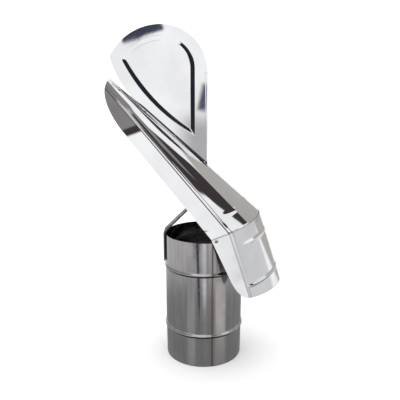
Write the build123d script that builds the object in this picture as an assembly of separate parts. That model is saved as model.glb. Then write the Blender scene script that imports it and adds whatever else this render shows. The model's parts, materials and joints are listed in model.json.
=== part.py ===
from build123d import *
from math import acos, atan2, cos, pi, radians, sin, tan
import os

# Rotating chimney cowl, in millimetres. The origin is the centre of the pipe's lower end, +Z runs
# up the pipe along the pivot, +X points to the neck guard (into the wind), -X to the hood's nose.

# Sheet metal and small clearances
sheet = 0.8
seat_gap = 0.1          # between sheets that are riveted together
lap_gap = 0.4           # between the hood's collar and the guard round it
bearing_gap = 0.05      # radial running clearance of the pin in its bushes
thrust_gap = 0.3        # between the pin's domed tip and the pad above it

# Base pipe
pipe_radius = 75.0
pipe_height = 250.0
spigot_step = 0.7       # the spigot under the lower bead is this much smaller in radius
lower_bead_z = 64.0
upper_bead_z = 187.0
pipe_bead_height = 2.4
pipe_bead_half = 4.6

# Yoke that stands on the pipe and carries the pivot pin
yoke_width = 28.0
yoke_thickness = 3.0
yoke_bend = 7.0
yoke_foot_drop = 55.0   # how far the straps reach down the pipe
yoke_shoulder_rise = 2.5
yoke_flat_half = 14.0

# Hood: a straight ridge, folded sharp at the nose and rounded out at the seam with the guard
ridge_angle = 41.7
ridge_rise = 138.8      # ridge over the pipe's rim, on the pivot axis
ridge_length = 372.5
seam_overhang = 30.5    # ridge end beyond the pipe's side
side_clearance = 8.0    # between the pipe's side and the outside of the hood
nose_half_angle = 40.0
nose_inner_fold = 15.0  # distances down the flank, from the ridge
nose_outer_fold = 22.2
nose_flank = 49.7
nose_bulge = 0.6
nose_spare = 3.0        # the form runs this far past the tongue's tip
seam_inner_fold = 57.5  # depths under the ridge, in the seam's plane
seam_outer_fold = 66.0
seam_edge_depth = 98.6
seam_fold_step = 1.2
band_offset = 35.0      # the swage across the hood lies this far before the seam
hood_swage_height = 0.9
tongue_tip_depth = 2.0
tongue_mid = (353.2, 29.9)
tongue_end = (291.2, 50.4)
collar_length = 9.0

# Neck guard: a straight channel that hangs from the seam on the windward side
guard_angle = 72.0
seam_angle = 69.4       # the hood is cut a little flatter than square to the guard
guard_length = 143.4
guard_fold_depth = 62.0
guard_edge_top = 98.5
guard_top_drop = 1.5    # bare collar between the hood's bend and the guard's upper edge
guard_edge_low = (90.0, 89.8)
guard_corner_mid = (115.0, 82.8)
guard_corner = (133.0, 66.0)
guard_lower_bead = 111.0
guard_upper_swage = 34.0
guard_bead_height = 1.5
guard_swage_height = 0.8
swage_radius = 2.6
slit_width = 0.8
notch_radius = 1.8

# Wind vane in the symmetry plane
vane_edge_x = 6.5
vane_crown_rise = 253.2     # crown over the ridge's height at the vane's edge
vane_front_radius = 84.0    # of the crown, from the straight edge up to its highest point
vane_back_radius = 106.8
vane_corner_angle = 151.7
vane_bulge = 5.7
vane_foot_reach = 134.2     # the plate meets the ridge this far behind its straight edge
vane_foot_width = 10.0
vane_foot_margin = 10.5     # between the foot's end and the ridge's end at the nose
emboss_edge_margin = 23.0
emboss_crown_margin = 18.7
emboss_tip_rise = 53.5      # tip of the pressed panel over the ridge's height at the vane's edge
emboss_front_radius = 58.0
emboss_back_radius = 93.0
emboss_corner_angle = 145.8
emboss_bulge = 14.5
emboss_height = 3.5
emboss_slope = 7.0
hem_width = 4.5

# Pivot: a pin on the yoke runs in a sleeve that hangs in a bridge under the hood
pin_radius = 5.0
pin_tip_drop = 2.0
pin_chamfer = 1.0
cap_clearance = 16.0    # cap's top under the ridge
cap_thickness = 3.0
cap_rim = 1.5
pad_thickness = 2.0
sleeve_length = 34.0
sleeve_radius = 10.0
sleeve_bore = 7.5
flange_radius = 14.0
flange_thickness = 3.0
bush_length = 9.0
bush_recess = 0.5
nut_height = 8.0
nut_flats = 17.0
nut_face = 0.95         # round face on top of a nut, as a share of its flats
washer_thickness = 1.6
washer_radius = 10.0
free_pin = 10.5         # bare pin between the upper nut and the sleeve
pin_tail = 4.0
sleeve_nut_height = 6.0
sleeve_nut_flats = 27.0
clip_thickness = 1.2
clip_radius = 6.9
clip_groove = 0.5
clip_play = 0.5
bridge_width = 24.0
bridge_thickness = 2.5
bridge_flat_half = 20.0
bridge_bend = 6.0
bridge_below = 6.0      # bridge plate over the sleeve's lower end
bridge_gap = 0.25       # spot-welded tabs, inside the flanks
bridge_tab_drop = 14.0  # tab's upper end under the fold
bridge_tab_height = 14.0

# Rivets, with the sizes of head and tail as shares of the shank's radius
rivet_radius = 2.0
vane_rivet_radius = 1.5
rivet_head = 1.8
rivet_head_height = 0.7
rivet_tail = 1.45
rivet_tail_height = 0.5
vane_rivet_places = (0.926, 0.765, 0.577, 0.376)    # as shares of the ridge's length
vane_rivet_along = 6.0  # down the flank from the ridge
seam_rivet_drop = 4.0   # under the guard's upper edge
seam_rivet_inset = 8.0  # from the guard's free edge
seam_rivet_half = 40.0
yoke_rivet_pitch = 18.0
yoke_rivet_rise = 9.0

# How far a form runs on before it is trimmed
spare = 20.0

# Directions and anchor points of the head, all in the symmetry plane
ridge_up = Vector(-cos(radians(ridge_angle)), 0, sin(radians(ridge_angle)))
ridge_depth = Vector(-sin(radians(ridge_angle)), 0, -cos(radians(ridge_angle)))
guard_down = Vector(cos(radians(guard_angle)), 0, -sin(radians(guard_angle)))
guard_depth = Vector(-sin(radians(guard_angle)), 0, -cos(radians(guard_angle)))
seam_down = Vector(cos(radians(seam_angle)), 0, -sin(radians(seam_angle)))
seam_depth = Vector(-sin(radians(seam_angle)), 0, -cos(radians(seam_angle)))
ridge_z = pipe_height + ridge_rise
seam_x = pipe_radius + seam_overhang
seam_crest = Vector(seam_x, 0, ridge_z - seam_x * tan(radians(ridge_angle)))
half_width = pipe_radius + side_clearance
nose_plane = Plane(seam_crest + ridge_up * (ridge_length + nose_spare), x_dir=(0, 1, 0), z_dir=ridge_up)
seam_plane = Plane(seam_crest, x_dir=(0, 1, 0), z_dir=seam_down)
band_plane = Plane(seam_crest + ridge_up * band_offset, x_dir=(0, 1, 0), z_dir=seam_down)
reach = 4 * half_width


def ridge_at(x):
    """Height of the ridge's outside at a place along X."""
    return ridge_z - x * tan(radians(ridge_angle))


def across(depth, half, origin, depth_dir):
    """A point at a depth under the ridge and a half width to the right of the symmetry plane."""
    return origin + depth_dir * depth + Vector(0, half, 0)


def circle_through(depth, half):
    """Radius of the arc that starts level at the ridge and passes one point of the flank."""
    return (depth**2 + half**2) / (2 * depth)


def arc_middle(depth, half):
    """Middle point of that arc, as depth and half width."""
    radius = circle_through(depth, half)
    turn = acos(1 - depth / radius) / 2
    return radius * (1 - cos(turn)), radius * sin(turn)


def nose_point(distance, bulge=0.0):
    """A point of the nose's straight flank, at a distance down from the ridge."""
    angle = radians(nose_half_angle)
    depth = distance * cos(angle) - bulge * sin(angle)
    half = distance * sin(angle) + bulge * cos(angle)
    return across(depth, half, nose_plane.origin, ridge_depth)


# The rule lines of the hood run straight from the nose to the seam: ridge, middle of the rounded
# back, the two folds, and a line beyond the free edge, where the side profile trims the sheet.
fold_half = half_width - seam_fold_step
back_middle = arc_middle(seam_inner_fold, fold_half)
rule_lines = [
    (nose_plane.origin, seam_crest),
    (nose_point(nose_inner_fold / 2, nose_bulge), across(*back_middle, seam_crest, seam_depth)),
    (nose_point(nose_inner_fold), across(seam_inner_fold, fold_half, seam_crest, seam_depth)),
    (nose_point(nose_outer_fold), across(seam_outer_fold, half_width, seam_crest, seam_depth)),
    (nose_point(nose_flank + spare),
     across(seam_edge_depth + spare, half_width, seam_crest, seam_depth)),
]


def rule_crossings(plane):
    """Where the hood's rule lines cross a plane."""
    points = []
    for start, end in rule_lines:
        run = end - start
        share = (plane.origin - start).dot(plane.z_dir) / run.dot(plane.z_dir)
        points.append(start + run * share)
    return points


def mirrored(point):
    return Vector(point.X, -point.Y, point.Z)


def dome(radius, height, top):
    """Half profile of a shallow dome, from its rim up to its top on the axis."""
    depth, half = arc_middle(height, radius)
    return ThreePointArc((radius, top - height), (half, top - depth), (0, top))


def hood_face(plane, growth=0.0):
    """Cross-section of the hood's outside in a plane, grown or shrunk by a wall."""
    ridge, middle, inner, outer, edge = rule_crossings(plane)
    right = [
        ThreePointArc(ridge, middle, inner),
        Line(inner, outer),
        Line(outer, edge),
    ]
    left = [
        Line(mirrored(edge), mirrored(outer)),
        Line(mirrored(outer), mirrored(inner)),
        ThreePointArc(mirrored(inner), mirrored(middle), ridge),
    ]
    face = Face(Wire(left + right + [Line(edge, mirrored(edge))]))
    if growth:
        face = offset(face, amount=growth, kind=Kind.INTERSECTION).face()
    return face


def hood_form(growth=0.0):
    """The hood's outside as one solid, from nose to seam."""
    sections = [hood_face(plane, growth) for plane in (nose_plane, band_plane, seam_plane)]
    return loft(sections, ruled=True)


def side_prism(outline):
    """A closed outline in the symmetry plane, as a block that reaches past both sides."""
    return extrude(Face(Wire(outline)), amount=reach, dir=(0, 1, 0), both=True)


def ridge_place(distance, depth):
    """A point of the symmetry plane, by its distance from the seam and depth under the ridge."""
    return seam_crest + ridge_up * distance + ridge_depth * depth


def ridge_at_distance(x):
    """Distance from the seam, along the ridge, of a place along X."""
    return (seam_x - x) / cos(radians(ridge_angle))


def guard_place(drop, depth):
    """A point of the symmetry plane, by its drop under the seam and depth inside the guard."""
    return guard_crest + guard_down * drop + guard_depth * depth


guard_crest = seam_crest - guard_depth * (lap_gap + sheet)
guard_half = half_width + lap_gap + sheet


def hood_trim():
    """Side profile of the hood: rounded tongue at the nose, straight free edge down to the seam."""
    edge_run = ridge_place(*tongue_end) - across(seam_edge_depth, 0, seam_crest, seam_depth)
    edge_dir = edge_run.normalized()
    tip = ridge_place(ridge_length, tongue_tip_depth)
    end = ridge_place(*tongue_end)
    tongue = Spline(tip, ridge_place(*tongue_mid), end, tangents=(ridge_depth, -edge_dir))
    past_seam = end - edge_dir * (edge_run.length + 2 * spare)
    under_seam = past_seam + Vector(reach, 0, -reach / 4)
    over_seam = past_seam + Vector(reach, 0, reach)
    over_nose = tip - ridge_depth * reach
    rest = Polyline(end, past_seam, under_seam, over_seam, over_nose, tip)
    return side_prism([tongue] + rest.edges())


def swage(face):
    """Ring of round bar along the rounded back of a section."""
    path = Wire(face.edges().filter_by(GeomType.CIRCLE))
    start = Plane(path @ 0, z_dir=path % 0)
    return sweep(start * Circle(swage_radius), path=path)


def rivet(plane, grip, shank=rivet_radius):
    """Snap-head rivet: its head sits on the plane, its tail is formed under the grip."""
    head, crown = shank * rivet_head, shank * rivet_head_height
    tail, foot = shank * rivet_tail, -grip - shank * rivet_tail_height
    body = Polyline((0, crown), (0, foot), (tail, foot), (tail, -grip), (shank, -grip),
                    (shank, 0), (head, 0))
    profile = Plane.XZ * make_face([dome(head, crown, crown)] + body.edges())
    return plane * revolve(profile, axis=Axis.Z)


def rivet_hole(plane, shank=rivet_radius):
    return plane * Cylinder(shank + bearing_gap, 12 * shank)


def hex_nut(flats, height, bore):
    """Plain hexagon nut that stands on its origin, with chamfered corners."""
    body = extrude(RegularPolygon(flats / 2, 6, major_radius=False), height)
    face = flats / 2 * nut_face
    crown = Cone(face + height, face, height, align=(Align.CENTER, Align.CENTER, Align.MIN))
    return (body & crown) - Cylinder(bore, 3 * height)


def disc(radius, height, z, bore=0.0):
    """Flat ring or disc on the pivot axis, from a height up."""
    body = Pos(0, 0, z) * Cylinder(radius, height, align=(Align.CENTER, Align.CENTER, Align.MIN))
    if bore:
        body -= Pos(0, 0, z) * Cylinder(bore, 3 * height)
    return body


crown_z = ridge_at(vane_edge_x) + vane_crown_rise

# Heights of the pivot, worked down from the ridge
cap_top = ridge_z - cap_clearance
sleeve_top = cap_top - cap_thickness
pad_z = sleeve_top - pad_thickness
pin_top = pad_z - thrust_gap
sleeve_z = sleeve_top - sleeve_length
bridge_z = sleeve_z + bridge_below
bridge_top = bridge_z + bridge_thickness
upper_nut_z = sleeve_z - free_pin - nut_height
yoke_top = upper_nut_z - washer_thickness
yoke_under = yoke_top - yoke_thickness
lower_nut_z = yoke_under - washer_thickness - nut_height
clip_z = sleeve_z + bush_recess + bush_length + clip_play

# Places of the rivets, each as a plane whose Z points out of the sheet
yoke_rivets_at = []
for side in (-1, 1):
    for step in (0, 1):
        height = pipe_height - yoke_foot_drop + yoke_rivet_rise + step * yoke_rivet_pitch
        place = Vector(side * (pipe_radius + seat_gap + yoke_thickness), 0, height)
        yoke_rivets_at.append(Plane(place, z_dir=(side, 0, 0)))
yoke_grip = yoke_thickness + 2 * seat_gap + sheet


def flank_arc(distance):
    """Cross-section of the left flank beside the ridge, square to the ridge."""
    station = Plane(seam_crest + ridge_up * distance, x_dir=(0, 1, 0), z_dir=ridge_up)
    ridge, middle, inner = [mirrored(point) for point in rule_crossings(station)[:3]]
    return ThreePointArc(ridge, middle, inner)


def flank_plane(distance, along, lift):
    """Plane on the left flank, beside the ridge, lifted off the hood's outside."""
    arc, next_arc = flank_arc(distance), flank_arc(distance + 1)
    share = along / arc.length
    rule = (next_arc @ share) - (arc @ share)
    normal = (arc % share).cross(rule).normalized()
    if normal.dot(ridge_depth) > 0:
        normal = -normal
    return Plane((arc @ share) + normal * lift, x_dir=rule, z_dir=normal)


vane_rivets_at = [flank_plane(share * ridge_length, vane_rivet_along, 3 * seat_gap + sheet)
                  for share in vane_rivet_places]
vane_grip = 2 * sheet + 5 * seat_gap

guard_radius = circle_through(guard_fold_depth, guard_half)
seam_turn = atan2(seam_rivet_half, (guard_radius**2 - seam_rivet_half**2) ** 0.5)
seam_rivets_at = []
for side in (-1, 1):
    out = -guard_depth * cos(seam_turn) + Vector(0, side * sin(seam_turn), 0)
    centre = guard_place(guard_top_drop + seam_rivet_drop, guard_radius)
    seam_rivets_at.append(Plane(centre + out * guard_radius, x_dir=guard_down, z_dir=out))
    seam_edge = seam_crest + seam_depth * (guard_edge_top - seam_rivet_inset)
    leg = seam_edge + guard_down * (guard_top_drop + seam_rivet_drop)
    seam_rivets_at.append(Plane(leg + Vector(0, side * guard_half, 0), x_dir=guard_down,
                                z_dir=(0, side, 0)))
seam_grip = 2 * sheet + lap_gap + 2 * seat_gap

# The bridge's tabs lie flat on the inside of the hood's flanks, under the folds
flank_top, flank_foot = rule_crossings(Plane.YZ)[3:]
flank_normal = (flank_foot - flank_top).cross(rule_lines[4][1] - rule_lines[4][0]).normalized()
if flank_normal.Y < 0:
    flank_normal = -flank_normal
bridge_heading = Vector(flank_normal.X, flank_normal.Y, 0).normalized()


def flank_reach(z):
    """How far the middle of a tab stands from the pivot axis at a height."""
    wall = sheet + bridge_gap + bridge_thickness / 2
    inside = flank_top - flank_normal * wall
    return (flank_normal.dot(inside) - flank_normal.Z * z) / flank_normal.dot(bridge_heading)


def pipe_line(inset):
    """One face of the pipe's wall, from its lower end up, with both rolled beads."""
    spigot = pipe_radius - spigot_step - inset
    body = pipe_radius - inset
    crest = body + pipe_bead_height
    return [
        Line((spigot, 0), (spigot, lower_bead_z - pipe_bead_half)),
        ThreePointArc((spigot, lower_bead_z - pipe_bead_half), (crest, lower_bead_z),
                      (body, lower_bead_z + pipe_bead_half)),
        Line((body, lower_bead_z + pipe_bead_half), (body, upper_bead_z - pipe_bead_half)),
        ThreePointArc((body, upper_bead_z - pipe_bead_half), (crest, upper_bead_z),
                      (body, upper_bead_z + pipe_bead_half)),
        Line((body, upper_bead_z + pipe_bead_half), (body, pipe_height)),
    ]


def base_pipe():
    outside, inside = pipe_line(0), pipe_line(sheet)
    foot = Line(outside[0] @ 0, inside[0] @ 0)
    rim = Line(outside[-1] @ 1, inside[-1] @ 1)
    wall = revolve(Plane.XZ * make_face(outside + inside + [foot, rim]), axis=Axis.Z)
    for place in yoke_rivets_at:
        wall -= rivet_hole(place)
    return wall


def bent_strap(points, bend, width_dir, width, thickness):
    """Flat bar bent along a line of points."""
    path = FilletPolyline(*points, radius=bend)
    start = Plane(path @ 0, x_dir=width_dir, z_dir=path % 0)
    return sweep(start * Rectangle(width, thickness), path=path)


def pivot_yoke():
    side = pipe_radius + seat_gap + yoke_thickness / 2
    shoulder = pipe_height + yoke_shoulder_rise
    middle = yoke_top - yoke_thickness / 2
    right = [(yoke_flat_half, 0, middle), (side, 0, shoulder), (side, 0, pipe_height - yoke_foot_drop)]
    left = [(-x, y, z) for x, y, z in reversed(right)]
    strap = bent_strap(left + right, yoke_bend, (0, 1, 0), yoke_width, yoke_thickness)
    for place in yoke_rivets_at:
        strap -= rivet_hole(place)
    return strap - disc(pin_radius + bearing_gap, 4 * yoke_thickness, yoke_under - yoke_thickness)


def pivot_pin():
    foot = lower_nut_z - pin_tail
    tip = dome(pin_radius, pin_tip_drop, pin_top)
    body = Polyline((0, pin_top), (0, foot), (pin_radius - pin_chamfer, foot),
                    (pin_radius, foot + pin_chamfer), (pin_radius, pin_top - pin_tip_drop))
    pin = revolve(Plane.XZ * make_face([tip] + body.edges()), axis=Axis.Z)
    return pin - disc(2 * pin_radius, clip_thickness, clip_z, pin_radius - clip_groove)


def retaining_clip():
    ring = disc(clip_radius, clip_thickness, clip_z, pin_radius - clip_groove + bearing_gap)
    gap = Pos(0, -clip_radius, clip_z) * Box(pin_radius, 2 * clip_radius, 4 * clip_thickness)
    return ring - gap


def hood():
    collar = extrude(hood_face(seam_plane), amount=collar_length, dir=guard_down)
    collar_bore = extrude(hood_face(seam_plane, -sheet), amount=collar_length, dir=guard_down)
    sunk = hood_swage_height - swage_radius
    form = hood_form() + collar + swage(hood_face(band_plane, sunk))
    bore = hood_form(-sheet) + collar_bore + swage(hood_face(band_plane, sunk - sheet))
    shell = (form - bore) & hood_trim()
    for place in vane_rivets_at:
        shell -= rivet_hole(place, vane_rivet_radius)
    for place in seam_rivets_at:
        shell -= rivet_hole(place)
    return shell


def guard_face(growth=0.0):
    """Cross-section of the guard's outside, in the plane of the seam."""
    edge = guard_edge_top + spare
    middle_depth, middle_half = arc_middle(guard_fold_depth, guard_half)
    ridge = guard_crest
    middle = across(middle_depth, middle_half, guard_crest, guard_depth)
    fold = across(guard_fold_depth, guard_half, guard_crest, guard_depth)
    foot = across(edge, guard_half, guard_crest, guard_depth)
    right = [ThreePointArc(ridge, middle, fold), Line(fold, foot)]
    left = [Line(mirrored(foot), mirrored(fold)),
            ThreePointArc(mirrored(fold), mirrored(middle), ridge)]
    face = Face(Wire(left + right + [Line(foot, mirrored(foot))]))
    if growth:
        face = offset(face, amount=growth, kind=Kind.INTERSECTION).face()
    return face


def guard_trim():
    """Side profile of the guard, with its tapered free edge and rounded lower corner."""
    seam_top = seam_crest + guard_down * guard_top_drop
    top = seam_top + seam_depth * guard_edge_top
    low = guard_place(*guard_edge_low)
    corner = guard_place(*guard_corner)
    foot = guard_place(guard_length, 0)
    beyond = foot + (foot - corner).normalized() * spare
    over = seam_top - seam_depth * spare
    taper = Line(top, low)
    turn = ThreePointArc(low, guard_place(*guard_corner_mid), corner)
    rest = Polyline(corner, beyond, over, top)
    return side_prism([taper, turn] + rest.edges())


def neck_guard():
    outside, inside = guard_face(), guard_face(-sheet)
    shell = extrude(outside, amount=guard_length + spare, dir=guard_down)
    bore = extrude(inside, amount=guard_length + spare, dir=guard_down)
    rings = ((guard_upper_swage, guard_swage_height), (guard_lower_bead, guard_bead_height))
    for drop, height in rings:
        sunk = height - swage_radius
        shell += Pos(guard_down * drop) * swage(guard_face(sunk))
        bore += Pos(guard_down * drop) * swage(guard_face(sunk - sheet))
    shell = (shell - bore) & guard_trim()
    for side in (-1, 1):
        fold = guard_place(guard_lower_bead, guard_fold_depth) + Vector(0, side * guard_half, 0)
        shell -= Plane(fold, z_dir=(0, side, 0)) * Cylinder(notch_radius, 8 * notch_radius)
        slit = Box(guard_length, 8 * notch_radius, slit_width,
                   align=(Align.MIN, Align.CENTER, Align.CENTER))
        shell -= Plane(fold, x_dir=guard_down, z_dir=guard_depth) * slit
    for place in seam_rivets_at:
        shell -= rivet_hole(place)
    return shell


def drop_outline(edge_x, crown_z, radii, corner_angle, low_points, bulge):
    """Drop shape: a straight edge up from a tip, a round crown of two arcs, and a belly back down."""
    front, back = radii
    crown = Vector(edge_x - front, 0, crown_z)
    shoulder = Vector(edge_x, 0, crown_z - front)
    front_middle = crown + Vector(sin(pi / 4), 0, cos(pi / 4) - 1) * front
    turn, half_turn = radians(corner_angle), radians(90 + corner_angle) / 2
    back_middle = crown + Vector(cos(half_turn), 0, sin(half_turn) - 1) * back
    corner = crown + Vector(cos(turn), 0, sin(turn) - 1) * back
    tip, heel = low_points
    chord = heel - corner
    belly = (corner + heel) * 0.5 + Vector(chord.Z, 0, -chord.X).normalized() * bulge
    edges = [
        Line(tip, shoulder),
        ThreePointArc(shoulder, front_middle, crown),
        ThreePointArc(crown, back_middle, corner),
        ThreePointArc(corner, belly, heel),
    ]
    if heel != tip:
        edges.append(Line(heel, tip))
    return Face(Wire(edges))


def vane_outline():
    heel_x = vane_edge_x - vane_foot_reach
    low_points = (Vector(vane_edge_x, 0, ridge_at(vane_edge_x)), Vector(heel_x, 0, ridge_at(heel_x)))
    return drop_outline(vane_edge_x, crown_z, (vane_front_radius, vane_back_radius),
                        vane_corner_angle, low_points, vane_bulge)


def emboss_outline():
    edge_x = vane_edge_x - emboss_edge_margin
    tip = Vector(edge_x, 0, ridge_at(vane_edge_x) + emboss_tip_rise)
    return drop_outline(edge_x, crown_z - emboss_crown_margin,
                        (emboss_front_radius, emboss_back_radius), emboss_corner_angle,
                        (tip, tip), emboss_bulge)


def wind_vane():
    plate = extrude(vane_outline(), amount=sheet / 2, dir=(0, 1, 0), both=True)
    base = emboss_outline()
    top = offset(base, amount=-emboss_slope, kind=Kind.INTERSECTION).face()
    raised = loft([Pos(0, -sheet / 2, 0) * base, Pos(0, -sheet / 2 - emboss_height, 0) * top],
                  ruled=True)
    hem_top = crown_z - vane_front_radius
    hem_length = vane_crown_rise - vane_front_radius - 2 * hem_width
    hem = Pos(vane_edge_x, -sheet / 2, hem_top) * Box(
        hem_width, sheet, hem_length, align=(Align.MAX, Align.MAX, Align.MAX))
    foot = hood_form(seat_gap + sheet) - hood_form(seat_gap)
    start = ridge_at_distance(vane_edge_x)
    nose_side = vane_foot_width * sin(radians(nose_half_angle))
    end = ridge_length - vane_foot_margin
    corners = [(start, 0), (end, 0), (end, -nose_side), (start, -vane_foot_width)]
    points = [ridge_place(along, -vane_foot_width) + Vector(0, side, 0) for along, side in corners]
    band = Face(Wire(Polyline(*points, close=True).edges()))
    near_side = extrude(band, amount=3 * vane_foot_width, dir=ridge_depth)
    vane = plate + raised + hem - Pos(0, sheet, 0) * raised
    vane -= hood_form(seat_gap)
    vane += foot & near_side
    for place in vane_rivets_at:
        vane -= rivet_hole(place, vane_rivet_radius)
    return vane


def bearing_bridge():
    """Cross strap whose halves turn a little towards the nose, square to the hood's flanks."""
    middle = bridge_z + bridge_thickness / 2
    tab_top = flank_top.Z - bridge_tab_drop
    tab_foot = tab_top - bridge_tab_height
    plan = [(0, middle), (bridge_flat_half, middle), (flank_reach(tab_top), tab_top),
            (flank_reach(tab_foot), tab_foot)]
    points = [bridge_heading * away + Vector(0, 0, z) for away, z in plan]
    across_dir = bridge_heading.cross(Vector(0, 0, 1))
    half = bent_strap(points, bridge_bend, across_dir, bridge_width, bridge_thickness)
    strap = half + mirror(half, about=Plane.XZ)
    return strap - disc(sleeve_radius, 4 * bridge_thickness, bridge_z - bridge_thickness)


def pivot_sleeve():
    tube = disc(sleeve_radius, sleeve_length, sleeve_z, sleeve_bore)
    flange = disc(flange_radius, flange_thickness, bridge_z - flange_thickness, sleeve_bore)
    return tube + flange


def bearing_cap():
    top = disc(sleeve_radius + cap_rim, cap_thickness, sleeve_top)
    skirt = disc(sleeve_radius + cap_rim, cap_thickness, sleeve_top - cap_thickness, sleeve_radius)
    return top + skirt


def bush(z):
    return disc(sleeve_bore, bush_length, z, pin_radius + bearing_gap)


def group(pieces):
    return Compound(children=list(pieces))


nodes = {
    "base_pipe": base_pipe(),
    "pivot_yoke": pivot_yoke(),
    "yoke_rivets": group(rivet(place, yoke_grip) for place in yoke_rivets_at),
    "pivot_pin": pivot_pin(),
    "lower_nut": Pos(0, 0, lower_nut_z) * hex_nut(nut_flats, nut_height, pin_radius),
    "lower_washer": disc(washer_radius, washer_thickness, yoke_under - washer_thickness, pin_radius),
    "upper_washer": disc(washer_radius, washer_thickness, yoke_top, pin_radius),
    "upper_nut": Pos(0, 0, upper_nut_z) * hex_nut(nut_flats, nut_height, pin_radius),
    "retaining_clip": retaining_clip(),
    "hood": hood(),
    "neck_guard": neck_guard(),
    "wind_vane": wind_vane(),
    "vane_rivets": group(rivet(place, vane_grip, vane_rivet_radius) for place in vane_rivets_at),
    "seam_rivets": group(rivet(place, seam_grip) for place in seam_rivets_at),
    "bearing_bridge": bearing_bridge(),
    "pivot_sleeve": pivot_sleeve(),
    "sleeve_nut": Pos(0, 0, bridge_top) * hex_nut(sleeve_nut_flats, sleeve_nut_height, sleeve_radius),
    "lower_bush": bush(sleeve_z + bush_recess),
    "upper_bush": bush(pad_z - bush_recess - bush_length),
    "thrust_pad": disc(sleeve_bore, pad_thickness, pad_z),
    "bearing_cap": bearing_cap(),
}

os.makedirs("parts", exist_ok=True)
for name, shape in nodes.items():
    export_step(shape, f"parts/{name}.step")
    print(name, len(shape.solids()), round(shape.volume, 1))
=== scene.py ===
import json
from math import acos, cos, pi, radians, sin, sqrt, tan
from typing import NamedTuple

import bmesh
import bpy
from mathutils import Matrix, Vector
from mathutils.geometry import interpolate_bezier, intersect_sphere_sphere_2d


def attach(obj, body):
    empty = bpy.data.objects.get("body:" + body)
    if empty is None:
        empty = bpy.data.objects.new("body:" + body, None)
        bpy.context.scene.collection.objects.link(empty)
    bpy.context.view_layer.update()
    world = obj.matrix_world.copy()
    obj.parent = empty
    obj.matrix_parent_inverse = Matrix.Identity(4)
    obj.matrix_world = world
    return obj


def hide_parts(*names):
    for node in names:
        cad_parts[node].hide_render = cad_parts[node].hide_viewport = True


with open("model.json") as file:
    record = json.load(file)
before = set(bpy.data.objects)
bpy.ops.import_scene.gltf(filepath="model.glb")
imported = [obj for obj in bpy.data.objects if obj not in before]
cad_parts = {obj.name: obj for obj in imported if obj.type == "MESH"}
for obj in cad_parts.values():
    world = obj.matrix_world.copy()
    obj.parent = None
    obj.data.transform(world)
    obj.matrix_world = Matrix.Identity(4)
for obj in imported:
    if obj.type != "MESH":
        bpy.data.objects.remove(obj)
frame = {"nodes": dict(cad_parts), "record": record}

bl_info = {
    "name": "Rotating Chimney Cowl",
    "version": (1, 0, 0),
    "blender": (4, 5, 0),
    "location": "View3D > Sidebar > Chimney Cowl",
    "description": "Dresses the packed chimney cowl in polished and rolled sheet metal",
    "category": "Object",
}

MM = 0.001


# ---- Sizes and places of the forms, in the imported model's frame


class Swage(NamedTuple):
    """A ridge rolled across a rounded back: its place, its profile, and where it dies out."""

    place: float
    height: float
    half: float
    end: float
    fade: float


# The symmetry plane's lines: the ridge, the seam of hood and guard, and the guard's back
RIDGE_ANGLE = radians(41.7)
RIDGE_HEIGHT = 388.8 * MM       # of the ridge, on the pivot axis
RIDGE_LENGTH = 372.5 * MM
SEAM_X = 105.5 * MM
SEAM_ANGLE = radians(69.4)
HALF_WIDTH = 83 * MM
GUARD_ANGLE = radians(72)
LAP = 1.2 * MM                  # guard's outside over the hood's outside

# Hood: distances down the nose's straight flank, and depths under the ridge at the seam
NOSE_SPARE = 3 * MM             # how far the form runs past the ridge's end
NOSE_HALF_ANGLE = radians(40)
NOSE_FOLDS = (15 * MM, 22.2 * MM)
NOSE_EDGE = 69.7 * MM
NOSE_BULGE = 0.6 * MM
SEAM_FOLDS = (57.5 * MM, 66 * MM)
SEAM_FOLD_STEP = 1.2 * MM       # from the flank in to the inner fold
SEAM_EDGE = 98.6 * MM
RIDGE_FOLD_REACH = 1.3 * MM
FOLD_BEAD_HEIGHT = 0.4 * MM
BEAD_START, BEAD_END, BEAD_FADE = 0.05, 0.97, 0.1   # shares of the way from the nose
TRIM_SPARE = 20 * MM            # left on a form for its trims to take off
TONGUE_TIP = (371.75 * MM, 2 * MM)      # up the ridge from the seam, and under it
TONGUE_END = (291.2 * MM, 50.4 * MM)
TONGUE_HANDLES = (27 * MM, 32 * MM)
COLLAR_LENGTH = 9 * MM
BAND = Swage(place=35 * MM, height=0.4 * MM, half=7 * MM, end=76 * MM, fade=18 * MM)

# Neck guard: drops from the seam's crest, and depths under the guard's back
GUARD_LENGTH = 143.4 * MM
GUARD_FOLD = 62 * MM
GUARD_FOLD_REACH = 6 * MM
GUARD_EDGE_TOP = 98.5 * MM
GUARD_TOP_DROP = 1.5 * MM
GUARD_EDGE_LOW = (90 * MM, 89.8 * MM)
GUARD_CORNER = (133 * MM, 66 * MM)
GUARD_HANDLES = (22 * MM, 14 * MM)
GUARD_SWAGES = (
    Swage(place=34 * MM, height=1.2 * MM, half=6 * MM, end=79 * MM, fade=12 * MM),
    Swage(place=111 * MM, height=1.5 * MM, half=4.2 * MM, end=84 * MM, fade=5 * MM),
)
NOTCH = (110.5 * MM, 58.2 * MM, 82.75 * MM)     # drop, depth and half width of its middle
NOTCH_RADIUS = 3.4 * MM
SLIT = (113 * MM, 62 * MM, 83.5 * MM)           # the same for its upper end
SLIT_WIDTH = 2.6 * MM
CUT_DEPTH = 1.4 * MM            # of the shapes that cut the notches and slits
CUT_TAPER = 0.08                # their inner width, as a share of the outer

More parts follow.
